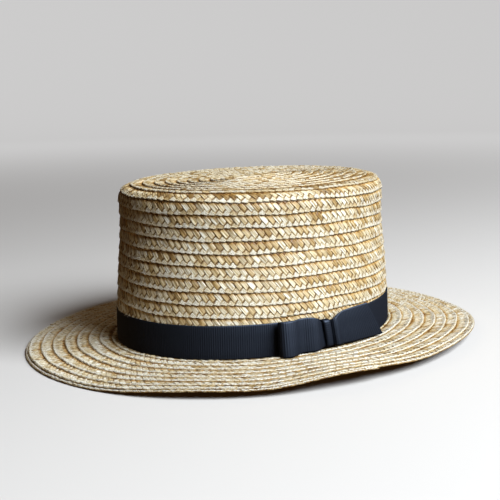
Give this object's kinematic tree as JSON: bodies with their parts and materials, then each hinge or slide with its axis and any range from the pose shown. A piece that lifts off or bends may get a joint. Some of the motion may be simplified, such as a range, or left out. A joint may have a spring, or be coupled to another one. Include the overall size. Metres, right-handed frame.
{
  "type": "straw boater hat",
  "caption": "Stiff straw boater with a flat-topped oval crown and flat brim in lapped rows of plait, a dark ribbon band and a flat tailored bow.",
  "frame": {"origin": "middle of the brim's outline, on the surface that the hat rests on", "axes": "front of the hat towards -Y, wearer's left (the bow's side) towards +X, up +Z"},
  "size_m": [0.288, 0.329, 0.108],
  "materials": {
    "straw": "glossy natural straw plait",
    "ribbon": "dark navy grosgrain, matt with a faint sheen"
  },
  "bodies": {
    "root": {"crown": "straw", "brim": "straw", "hat_band": "ribbon", "bow_loop": "ribbon", "bow_tail": "ribbon", "bow_knot": "ribbon"}
  },
  "joints": []
}
